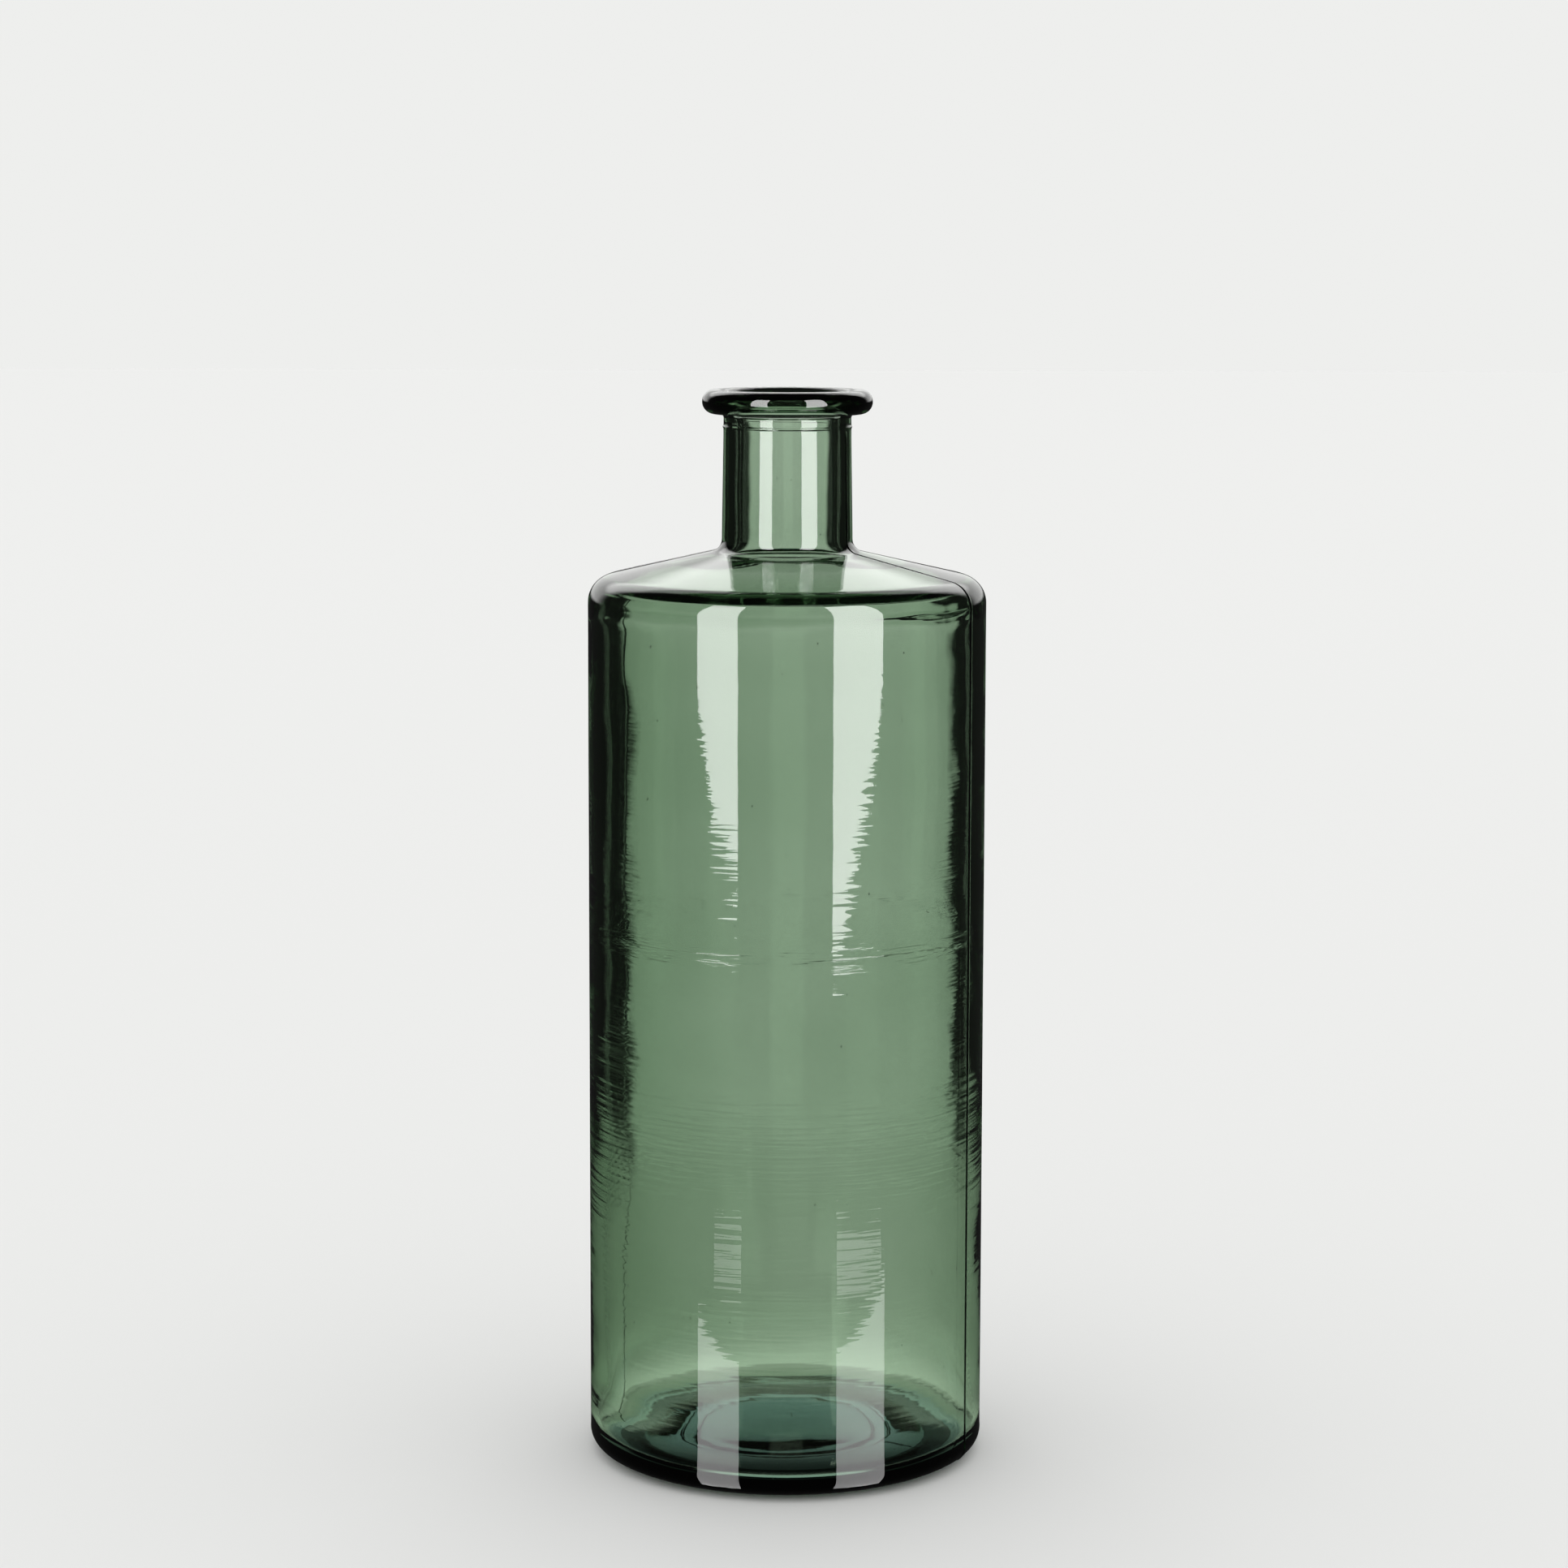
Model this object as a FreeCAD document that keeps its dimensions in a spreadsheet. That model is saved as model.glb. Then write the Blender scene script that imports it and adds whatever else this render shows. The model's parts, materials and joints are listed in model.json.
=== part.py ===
import FreeCAD, Part
import math
import os

import Sketcher

# A carboy blown in one piece of thick recycled glass: a straight round body, a
# sloping shoulder, a near-straight neck and a rolled lip round an open mouth.
# Millimetres, +Z up, origin at the centre of the face it stands on.  The mould
# opens on an upright plane, seam_azimuth degrees round from the XZ plane.

SIZES = (
    ("overall_height", 400.0, "foot to the top of the lip"),
    ("body_diameter", 148.0, "outside, over the straight side"),
    ("side_height", 321.5, "foot to the end of the straight side"),
    ("wall", 4.0, "glass in the side and the shoulder"),
    ("floor_wall", 7.0, "glass over the foot, at the foot of the side"),
    ("floor_rise", 3.5, "how far the inside floor rises at the axis"),
    ("inner_corner", 7.0, "radius where the inside floor meets the side"),
    ("heel_height", 7.6, "foot to the start of the straight side"),
    ("heel_side_radius", 6.0, "upper, tighter arc of the heel"),
    ("heel_foot_radius", 18.0, "lower, flatter arc of the heel"),
    ("stand_width", 10.0, "flat ring that the bottle stands on"),
    ("punt_rise", 3.2, "how far the foot is pressed up inside that ring"),
    ("baffle_diameter", 76.0, "disc left by the mould's bottom plate"),
    ("baffle_step", 6.0, "gap between the disc's two rings"),
    ("shoulder_slope", 13.0, "degrees above the horizontal"),
    ("shoulder_radius", 10.0, "outside, between side and shoulder"),
    ("neck_fillet", 4.8, "outside, between shoulder and neck"),
    ("bore_diameter", 39.0, "straight bore of the neck"),
    ("neck_wall", 4.1, "glass round the bore, under the lip"),
    ("neck_spread", 0.7, "extra glass at the neck's foot, each side"),
    ("throat_radius", 9.0, "inside, between shoulder and bore"),
    ("mouth_radius", 14.0, "flare from the bore to the lip"),
    ("lip_overhang", 8.0, "lip beyond the neck, each side"),
    ("lip_thickness", 9.0, "height of the rolled lip"),
    ("lip_fillet", 1.5, "between the neck and the underside of the lip"),
    ("ring_line_drop", 13.7, "top of the lip to the neck ring's line"),
    ("line_width", 0.9, "mould lines, across"),
    ("line_proud", 0.3, "upright mould line, above the glass"),
    ("line_foot", 2.6, "height at which it ends on the heel"),
    ("seam_azimuth", -25.0, "degrees from the XZ plane"),
)

BODY_RADIUS = "sizes.body_diameter / 2"
INSIDE_RADIUS = BODY_RADIUS + " - sizes.wall"
BORE_RADIUS = "sizes.bore_diameter / 2"
NECK_TOP_RADIUS = BORE_RADIUS + " + sizes.neck_wall"
NECK_FOOT_RADIUS = NECK_TOP_RADIUS + " + sizes.neck_spread"
LIP_RADIUS = "sizes.lip_thickness / 2"
LIP_CENTRE = NECK_TOP_RADIUS + " + sizes.lip_overhang - " + LIP_RADIUS
RING_LINE_LEVEL = "sizes.overall_height - sizes.ring_line_drop"
BAFFLE_RADIUS = "sizes.baffle_diameter / 2"

LEFT = math.pi
UP = math.pi / 2
DOWN = -math.pi / 2


def new_sheet(doc):
    """Write every driving size into a spreadsheet, one named cell each."""
    sheet = doc.addObject("Spreadsheet::Sheet", "sizes")
    for row, (name, value, note) in enumerate(SIZES, start=1):
        sheet.set("A%d" % row, name)
        sheet.set("B%d" % row, repr(value))
        sheet.set("C%d" % row, note)
        sheet.setAlias("B%d" % row, name)
    doc.recompute()
    return sheet


def origin_feature(body, role):
    """One of the body's own origin planes or axes."""
    return next(item for item in body.Origin.OriginFeatures if item.Role == role)


def new_sketch(body, name):
    """A sketch on the XZ plane: sketch X is the radius, sketch Y is the height."""
    sketch = body.newObject("Sketcher::SketchObject", name)
    sketch.AttachmentSupport = [(origin_feature(body, "XZ_Plane"), "")]
    sketch.MapMode = "FlatFace"
    return sketch


def point(radius, height):
    return FreeCAD.Vector(radius, height, 0)


def length(sketch, expression):
    """The number that an expression on the sizes has now."""
    return float(sketch.evalExpression(expression))


def add_line(sketch, start, end):
    return sketch.addGeometry(Part.LineSegment(start, end), False)


def add_arc(sketch, centre, radius, start, end):
    """An arc that runs counter-clockwise from one angle to the other."""
    circle = Part.Circle(centre, FreeCAD.Vector(0, 0, 1), radius)
    return sketch.addGeometry(Part.ArcOfCircle(circle, start, end), False)


def bind(sketch, kind, where, expression):
    """A dimension whose value follows the spreadsheet."""
    value = length(sketch, expression)
    if kind == "Angle":
        value = math.radians(value)
    index = sketch.addConstraint(Sketcher.Constraint(kind, *where, value))
    sketch.setExpression("Constraints[%d]" % index, expression)


def place(sketch, curve, end, across=None, up=None):
    """Give an end of a curve its radius from the axis, its height, or both."""
    if across:
        bind(sketch, "DistanceX", (-1, 1, curve, end), across)
    if up:
        bind(sketch, "DistanceY", (-1, 1, curve, end), up)


def join(sketch, kind, *pairs):
    """Relate two ends, given as curve, end, curve, end: 1 starts, 2 ends, 3 is a centre."""
    for ends in pairs:
        sketch.addConstraint(Sketcher.Constraint(kind, *ends))


def align(sketch, kind, *lines):
    for line in lines:
        sketch.addConstraint(Sketcher.Constraint(kind, line))


def on_axis(sketch, *ends):
    for curve, end in ends:
        sketch.addConstraint(Sketcher.Constraint("PointOnObject", curve, end, -2))


def flank(sketch, size, proud, heel_end, top):
    """Outside from the heel to the neck, standing proud of the glass by that much.

    Heel arc, side, shoulder arc, shoulder, neck fillet and neck.  Dimensions place
    all of it but the first end of the heel arc and the top end of the neck.
    """
    extra = " + sizes.line_proud" if proud else ""
    less = " - sizes.line_proud" if proud else ""
    slope = math.radians(size.shoulder_slope)
    away = point(math.sin(slope), math.cos(slope))
    edge = length(sketch, BODY_RADIUS)
    neck_foot = length(sketch, NECK_FOOT_RADIUS)
    heel = point(edge - size.heel_side_radius, size.heel_height)
    corner = point(edge - size.shoulder_radius, size.side_height)
    run = corner.x - neck_foot - size.neck_fillet
    lift = (size.shoulder_radius + size.neck_fillet) / math.cos(slope)
    fillet = point(neck_foot + size.neck_fillet, corner.y + run * math.tan(slope) + lift)
    low = corner + away * (size.shoulder_radius + proud)
    high = fillet - away * (size.neck_fillet - proud)

    heel_arc = add_arc(sketch, heel, size.heel_side_radius + proud, heel_end, 0)
    side = add_line(sketch, point(edge + proud, heel.y), point(edge + proud, corner.y))
    corner_arc = add_arc(sketch, corner, size.shoulder_radius + proud, 0, UP - slope)
    shoulder = add_line(sketch, low, high)
    neck_arc = add_arc(sketch, fillet, size.neck_fillet - proud, LEFT, LEFT + UP - slope)
    neck = add_line(sketch, point(neck_foot + proud, fillet.y), top)

    join(sketch, "Tangent", (heel_arc, 2, side, 1), (side, 2, corner_arc, 1),
         (corner_arc, 2, shoulder, 1), (shoulder, 2, neck_arc, 2), (neck_arc, 1, neck, 1))
    align(sketch, "Vertical", side)
    bind(sketch, "Radius", (heel_arc,), "sizes.heel_side_radius" + extra)
    bind(sketch, "Radius", (corner_arc,), "sizes.shoulder_radius" + extra)
    bind(sketch, "Radius", (neck_arc,), "sizes.neck_fillet" + less)
    bind(sketch, "Angle", (shoulder,), "180 - sizes.shoulder_slope")
    place(sketch, side, 1, BODY_RADIUS + extra, "sizes.heel_height")
    place(sketch, side, 2, up="sizes.side_height")
    place(sketch, neck, 1, NECK_FOOT_RADIUS + extra)
    return heel_arc, neck


def stand_edge(sketch, size):
    """Outer radius of the flat ring the bottle stands on, and the heel's turn."""
    step = size.heel_foot_radius - size.heel_side_radius
    turn = math.asin((size.heel_foot_radius - size.heel_height) / step)
    edge = length(sketch, BODY_RADIUS) - size.heel_side_radius
    return edge - step * math.cos(turn), turn


def outside_sketch(body, size):
    """The whole outside, closed along the axis, with a flat foot and a full lip."""
    sketch = new_sketch(body, "outside")
    rest, turn = stand_edge(sketch, size)
    foot_radius = size.heel_foot_radius
    neck_top = length(sketch, NECK_TOP_RADIUS)
    rim = length(sketch, LIP_RADIUS)
    lip = point(length(sketch, LIP_CENTRE), size.overall_height - rim)
    under = lip.y - rim
    roll = point(neck_top + size.lip_fillet, under - size.lip_fillet)

    heel_arc, neck = flank(sketch, size, 0, -turn, point(neck_top, roll.y))
    foot = add_line(sketch, point(0, 0), point(rest, 0))
    foot_arc = add_arc(sketch, point(rest, foot_radius), foot_radius, DOWN, -turn)
    under_arc = add_arc(sketch, roll, size.lip_fillet, UP, LEFT)
    under_line = add_line(sketch, point(roll.x, under), point(lip.x, under))
    lip_arc = add_arc(sketch, lip, rim, DOWN, UP)
    top = add_line(sketch, point(lip.x, size.overall_height), point(0, size.overall_height))
    axis = add_line(sketch, point(0, size.overall_height), point(0, 0))

    join(sketch, "Tangent", (foot, 2, foot_arc, 1), (foot_arc, 2, heel_arc, 1),
         (under_arc, 1, under_line, 1), (under_line, 2, lip_arc, 1), (lip_arc, 2, top, 1))
    join(sketch, "Coincident", (neck, 2, under_arc, 2), (top, 2, axis, 1),
         (axis, 2, foot, 1), (foot, 1, -1, 1))
    on_axis(sketch, (top, 2))
    align(sketch, "Horizontal", foot, under_line, top)
    bind(sketch, "Radius", (foot_arc,), "sizes.heel_foot_radius")
    bind(sketch, "Radius", (under_arc,), "sizes.lip_fillet")
    bind(sketch, "Radius", (lip_arc,), LIP_RADIUS)
    join(sketch, "Horizontal", (under_arc, 2, under_arc, 3))
    place(sketch, neck, 2, NECK_TOP_RADIUS)
    place(sketch, lip_arc, 3, LIP_CENTRE)
    place(sketch, top, 1, up="sizes.overall_height")
    return sketch


def seam_sketch(body, size):
    """Half of the mould's parting plane, a little larger than the glass."""
    sketch = new_sketch(body, "parting_plane")
    upright = FreeCAD.Vector(0, 1, 0)
    turned = FreeCAD.Rotation(upright, size.seam_azimuth)
    sketch.AttachmentOffset = FreeCAD.Placement(FreeCAD.Vector(0, 0, 0), turned)
    sketch.setExpression("AttachmentOffset.Rotation.Angle", "sizes.seam_azimuth")
    level = length(sketch, RING_LINE_LEVEL)
    radius = size.heel_side_radius + size.line_proud
    drop = math.asin((size.heel_height - size.line_foot) / radius)
    heel_x = length(sketch, BODY_RADIUS) - size.heel_side_radius
    reach = heel_x + radius * math.cos(drop)
    neck_x = length(sketch, NECK_TOP_RADIUS) + size.line_proud

    heel_arc, neck = flank(sketch, size, size.line_proud, -drop, point(neck_x, level))
    low = add_line(sketch, point(0, size.line_foot), point(reach, size.line_foot))
    high = add_line(sketch, point(neck_x, level), point(0, level))
    axis = add_line(sketch, point(0, level), point(0, size.line_foot))

    join(sketch, "Coincident", (low, 2, heel_arc, 1), (neck, 2, high, 1),
         (high, 2, axis, 1), (axis, 2, low, 1))
    on_axis(sketch, (low, 1), (high, 2))
    align(sketch, "Horizontal", low, high)
    place(sketch, low, 1, up="sizes.line_foot")
    place(sketch, neck, 2, NECK_TOP_RADIUS + " + sizes.line_proud", RING_LINE_LEVEL)
    return sketch


def hollow_sketch(body, size):
    """The inside: domed floor, side, shoulder, throat, bore and flared mouth."""
    sketch = new_sketch(body, "hollow")
    slope = math.radians(size.shoulder_slope)
    away = point(math.sin(slope), math.cos(slope))
    inside = length(sketch, INSIDE_RADIUS)
    bore = length(sketch, BORE_RADIUS)
    rim = length(sketch, LIP_RADIUS)
    bend = size.shoulder_radius - size.wall
    low = point(inside - size.inner_corner, size.floor_wall + size.inner_corner)
    crown = size.floor_wall + size.floor_rise
    lift = low.y - crown
    dome = (low.x ** 2 + lift ** 2 - size.inner_corner ** 2) / (2 * (size.inner_corner - lift))
    fall = math.atan2(low.x, dome + lift)
    corner = point(inside - bend, size.side_height)
    run = corner.x - bore - size.throat_radius
    climb = run * math.tan(slope) + (bend + size.throat_radius) / math.cos(slope)
    throat = point(bore + size.throat_radius, corner.y + climb)
    lip = point(length(sketch, LIP_CENTRE), size.overall_height - rim)
    reach = size.mouth_radius - rim
    lean = math.acos((bore + size.mouth_radius - lip.x) / reach)
    mouth = point(bore + size.mouth_radius, lip.y - reach * math.sin(lean))
    over = size.overall_height + rim

    floor = add_arc(sketch, point(0, crown - dome), dome, UP - fall, UP)
    corner_low = add_arc(sketch, low, size.inner_corner, -UP - fall, 0)
    side = add_line(sketch, point(inside, low.y), point(inside, corner.y))
    corner_high = add_arc(sketch, corner, bend, 0, UP - slope)
    shoulder = add_line(sketch, corner + away * bend, throat - away * size.throat_radius)
    throat_arc = add_arc(sketch, throat, size.throat_radius, LEFT, LEFT + UP - slope)
    straight = add_line(sketch, point(bore, throat.y), point(bore, mouth.y))
    flare = add_arc(sketch, mouth, size.mouth_radius, LEFT - lean, LEFT)
    roll = add_arc(sketch, lip, rim, UP, LEFT - lean)
    rise = add_line(sketch, point(lip.x, size.overall_height), point(lip.x, over))
    top = add_line(sketch, point(lip.x, over), point(0, over))
    axis = add_line(sketch, point(0, over), point(0, crown))

    join(sketch, "Tangent", (floor, 1, corner_low, 1), (corner_low, 2, side, 1),
         (side, 2, corner_high, 1), (corner_high, 2, shoulder, 1),
         (shoulder, 2, throat_arc, 2), (throat_arc, 1, straight, 1),
         (straight, 2, flare, 2), (flare, 1, roll, 2))
    join(sketch, "Coincident", (roll, 1, rise, 1), (rise, 2, top, 1), (top, 2, axis, 1),
         (axis, 2, floor, 2))
    on_axis(sketch, (floor, 3), (floor, 2), (top, 2))
    align(sketch, "Vertical", side, straight, rise)
    align(sketch, "Horizontal", top)
    bind(sketch, "Radius", (corner_low,), "sizes.inner_corner")
    bind(sketch, "Radius", (corner_high,), "sizes.shoulder_radius - sizes.wall")
    bind(sketch, "Angle", (shoulder,), "180 - sizes.shoulder_slope")
    bind(sketch, "Radius", (throat_arc,), "sizes.throat_radius")
    bind(sketch, "Radius", (flare,), "sizes.mouth_radius")
    bind(sketch, "Radius", (roll,), LIP_RADIUS)
    place(sketch, floor, 2, up="sizes.floor_wall + sizes.floor_rise")
    place(sketch, corner_low, 3, up="sizes.floor_wall + sizes.inner_corner")
    place(sketch, side, 1, INSIDE_RADIUS)
    place(sketch, side, 2, up="sizes.side_height")
    place(sketch, straight, 1, BORE_RADIUS)
    place(sketch, roll, 3, LIP_CENTRE, "sizes.overall_height - " + LIP_RADIUS)
    place(sketch, rise, 1, LIP_CENTRE)
    place(sketch, rise, 2, up="sizes.overall_height + " + LIP_RADIUS)
    return sketch


def punt_sketch(body, size):
    """The shallow hollow under the foot: a sloping ring round the baffle's disc."""
    sketch = new_sketch(body, "punt")
    rest, turn = stand_edge(sketch, size)
    edge = rest - size.stand_width
    disc = length(sketch, BAFFLE_RADIUS)
    foot_arc = add_arc(sketch, point(rest, size.heel_foot_radius), size.heel_foot_radius,
                       DOWN, -turn)
    heel_end = point(length(sketch, BODY_RADIUS) - size.heel_side_radius, size.heel_height)
    heel_arc = add_arc(sketch, heel_end, size.heel_side_radius, -turn, 0)
    sketch.setConstruction(foot_arc, True)
    sketch.setConstruction(heel_arc, True)
    foot = add_line(sketch, point(0, 0), point(edge, 0))
    stand = add_line(sketch, point(edge, 0), point(rest, 0))
    sketch.setConstruction(stand, True)
    ring = add_line(sketch, point(edge, 0), point(disc, size.punt_rise))
    plate = add_line(sketch, point(disc, size.punt_rise), point(0, size.punt_rise))
    axis = add_line(sketch, point(0, size.punt_rise), point(0, 0))

    join(sketch, "Tangent", (stand, 2, foot_arc, 1), (foot_arc, 2, heel_arc, 1))
    join(sketch, "Coincident", (foot, 2, ring, 1), (foot, 2, stand, 1), (ring, 2, plate, 1),
         (plate, 2, axis, 1), (axis, 2, foot, 1), (foot, 1, -1, 1))
    on_axis(sketch, (plate, 2))
    align(sketch, "Horizontal", foot, stand, plate)
    bind(sketch, "Radius", (foot_arc,), "sizes.heel_foot_radius")
    bind(sketch, "Radius", (heel_arc,), "sizes.heel_side_radius")
    bind(sketch, "Distance", (stand,), "sizes.stand_width")
    place(sketch, heel_arc, 3, BODY_RADIUS + " - sizes.heel_side_radius", "sizes.heel_height")
    place(sketch, heel_arc, 2, up="sizes.heel_height")
    place(sketch, plate, 1, BAFFLE_RADIUS, "sizes.punt_rise")
    return sketch


def line_sketch(body, size, name, across, up):
    """A mould line's section: a small circle with its centre on the glass."""
    sketch = new_sketch(body, name)
    centre = point(length(sketch, across), length(sketch, up))
    circle = Part.Circle(centre, FreeCAD.Vector(0, 0, 1), size.line_width / 2)
    ridge = sketch.addGeometry(circle, False)
    bind(sketch, "Radius", (ridge,), "sizes.line_width / 2")
    place(sketch, ridge, 3, across, up)
    return sketch


def turn_profile(body, kind, name, sketch):
    """Revolve a sketch round the height axis: a Revolution adds, a Groove cuts."""
    before = body.Shape.Volume if body.Tip else 0.0
    feature = body.newObject(kind, name)
    feature.Profile = sketch
    feature.ReferenceAxis = (sketch, ["V_Axis"])
    feature.Angle = 360
    body.Document.recompute()
    added = body.Shape.Volume - before
    if (added > 0) == (kind == "PartDesign::Groove"):
        raise RuntimeError("%s changed the volume the wrong way" % name)


def add_parting_lines(body, size):
    """Raise the mould's upright line as a thin fin, then repeat it half a turn round."""
    fin = body.newObject("PartDesign::Pad", "parting_line")
    fin.Profile = seam_sketch(body, size)
    fin.SideType = "Symmetric"
    fin.setExpression("Length", "sizes.line_width")
    body.Document.recompute()
    pair = body.newObject("PartDesign::PolarPattern", "parting_lines")
    pair.Originals = [fin]
    pair.Axis = (origin_feature(body, "Z_Axis"), [""])
    pair.Angle = 360
    pair.Occurrences = 2
    body.Tip = pair
    body.Document.recompute()


def build_bottle(doc, size):
    """The one piece of glass."""
    body = doc.addObject("PartDesign::Body", "bottle")
    body.Label = "bottle"
    turn_profile(body, "PartDesign::Revolution", "blown_form", outside_sketch(body, size))
    ring_line = line_sketch(body, size, "neck_ring_line", NECK_TOP_RADIUS, RING_LINE_LEVEL)
    turn_profile(body, "PartDesign::Revolution", "neck_ring", ring_line)
    add_parting_lines(body, size)
    turn_profile(body, "PartDesign::Groove", "blown_hollow", hollow_sketch(body, size))
    turn_profile(body, "PartDesign::Groove", "pressed_foot", punt_sketch(body, size))
    inner_radius = BAFFLE_RADIUS + " - sizes.baffle_step"
    for name, radius in (("outer_baffle", BAFFLE_RADIUS), ("inner_baffle", inner_radius)):
        baffle_line = line_sketch(body, size, name + "_line", radius, "sizes.punt_rise")
        turn_profile(body, "PartDesign::Revolution", name, baffle_line)
    body.Placement = FreeCAD.Placement()
    return body


def check(doc, parts):
    """Stop before anything is written if a feature or a solid is not sound."""
    for item in doc.Objects:
        if "Invalid" in item.State or "Error" in item.State:
            raise RuntimeError("%s failed: %s" % (item.Name, item.State))
    for part in parts:
        if part.Shape.isNull() or not part.Shape.isValid():
            raise RuntimeError("%s has no sound shape" % part.Label)
        if len(part.Shape.Solids) != 1:
            raise RuntimeError("%s is not one solid" % part.Label)


def write(parts):
    os.makedirs("parts", exist_ok=True)
    for part in parts:
        part.Shape.exportStep("parts/%s.step" % part.Label)
        box = part.Shape.optimalBoundingBox(True, False)
        print(part.Label, "%.1f cm3" % (part.Shape.Volume / 1000),
              "%.2f x %.2f x %.2f mm" % (box.XLength, box.YLength, box.ZLength))


doc = FreeCAD.newDocument("carboy")
size = new_sheet(doc)
parts = [build_bottle(doc, size)]
doc.recompute()
check(doc, parts)
write(parts)
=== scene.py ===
import json
import math

import bpy
from mathutils import Matrix, Vector


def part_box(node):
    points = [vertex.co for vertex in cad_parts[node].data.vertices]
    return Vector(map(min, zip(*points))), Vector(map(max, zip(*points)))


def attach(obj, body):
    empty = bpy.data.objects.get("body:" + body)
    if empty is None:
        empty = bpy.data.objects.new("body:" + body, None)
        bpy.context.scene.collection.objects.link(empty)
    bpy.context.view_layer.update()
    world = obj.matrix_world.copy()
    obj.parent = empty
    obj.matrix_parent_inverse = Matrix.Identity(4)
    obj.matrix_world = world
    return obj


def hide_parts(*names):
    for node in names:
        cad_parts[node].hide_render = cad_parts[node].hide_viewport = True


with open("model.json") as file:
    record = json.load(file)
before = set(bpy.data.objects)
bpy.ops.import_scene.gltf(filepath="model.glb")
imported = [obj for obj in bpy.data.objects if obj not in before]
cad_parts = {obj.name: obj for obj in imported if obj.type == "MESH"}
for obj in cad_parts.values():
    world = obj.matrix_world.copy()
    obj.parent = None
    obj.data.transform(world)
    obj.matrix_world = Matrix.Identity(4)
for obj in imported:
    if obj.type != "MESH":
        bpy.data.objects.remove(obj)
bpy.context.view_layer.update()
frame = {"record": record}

# ---------------------------------------------------------------- the bottle
# The whole bottle, from its foot to its rolled lip, is one piece of smoky grey-green
# recycled glass.  It is blown in a two-part mould: the outside has the mould's true
# shape, and the inside, which nothing held, follows it loosely.

low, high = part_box("bottle")
BODY = (high.x - low.x) / 2
TOP = high.z
mouth = next(mount for mount in frame["record"]["mounts"] if mount["name"] == "mouth")
BORE = mouth["dims"]["r_mm"] / 1000

SIDE_TOP = 0.3215             # where the side turns into the shoulder's corner
SLOPE = math.radians(13)      # of the shoulder
CORNER = 0.010
HEEL_HEIGHT = 0.0076          # of the middle of the arc that ends the side
HEEL_SIDE = 0.006             # radius of that arc
HEEL_FOOT = 0.018             # radius of the wider arc that runs in under it
STAND = 0.010                 # width of the flat ring that the bottle stands on
PUNT = 0.0032                 # depth of the hollow inside that ring
BAFFLE = 0.038                # radius of the outer ring left by the mould's bottom plate
BAFFLE_STEP = 0.006           # from there in to the second ring
NECK_TOP = BORE + 0.0041
NECK_FOOT = NECK_TOP + 0.0007
NECK_FILLET = 0.0048
RING_LINE = TOP - 0.0137      # level of the fine ring under the lip
LIP = 0.0045                  # half the lip's thickness
LIP_REACH = 0.008             # how far the lip stands out from the neck
LIP_CENTRE = Vector((NECK_TOP + LIP_REACH - LIP, TOP - LIP))
LIP_FILLET = 0.0015
FLARE = 0.014                 # radius of the bore's flare into the lip
THROAT = 0.009                # radius of the bore's flare into the shoulder
WALL = 0.0040
INNER_CORNER = 0.003
INNER_HEEL = 0.005
FLOOR = 0.0068                # level of the inside floor at its edge
FLOOR_CROWN = 0.0105          # and in the middle
LINE_PROUD = 0.0003           # height of every line left by the mould
LINE_HALF = 0.00045           # and half its width

# The distance between the mesh's rows, along the section.
FOOT_ROW = 0.002
WIDE_ROW = 0.003
SIDE_ROW = 0.0031
NECK_ROW = 0.0026
COLLAR_ROW = 0.0015
ROLL_ROW = 0.0012
ROLL_REACH = 0.018            # how far below the shoulder the closest rows go

# The most that the glass strays from the true shape, place by place.
MOULD_STRAY = 0.00012
SLOPE_STRAY = 0.00015
FILLET_STRAY = 0.0001
NECK_STRAY = 0.00008
INSIDE_STRAY = 0.0007
THROAT_STRAY = 0.0005
CORNER_STRAY = 0.0009
HEEL_STRAY = 0.0008
FLOOR_STRAY = 0.0004

# Half of the bottle cut down its axis, as (point, stray, line) in order: under the foot,
# up the outside, over the lip and down the inside to the middle of the floor.
section = []


def trace(points, slack=0.0, line=0.0):
    """Add points, with how far the glass may stray there and whether the mould parts."""
    section.extend((point, slack, line) for point in points)


def arc(centre, radius, start, end, steps):
    """Points round an arc, from one angle in degrees to another."""
    angles = [math.radians(start + (end - start) * i / steps) for i in range(steps + 1)]
    return [centre + Vector((math.cos(a), math.sin(a))) * radius for a in angles]


def between(start, end, step):
    """Points strictly between two ends, about one step apart."""
    count = max(1, round((end - start).length / step))
    return [start.lerp(end, i / count) for i in range(1, count)]


def ridge(offset):
    """Height of a mould line at this distance from its middle."""
    return LINE_PROUD * math.exp(-(offset / LINE_HALF) ** 2)


def close_steps(middle):
    """Places across a mould line, close enough together to draw it."""
    return [middle + LINE_HALF * i / 2 for i in range(-4, 5)]


slope_degrees = math.degrees(SLOPE)
marks = (BAFFLE - BAFFLE_STEP, BAFFLE)
radii = [WIDE_ROW * i for i in range(10)] + close_steps(marks[0]) + close_steps(marks[1])
trace([Vector((r, PUNT - ridge(r - marks[0]) - ridge(r - marks[1]))) for r in radii])

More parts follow.
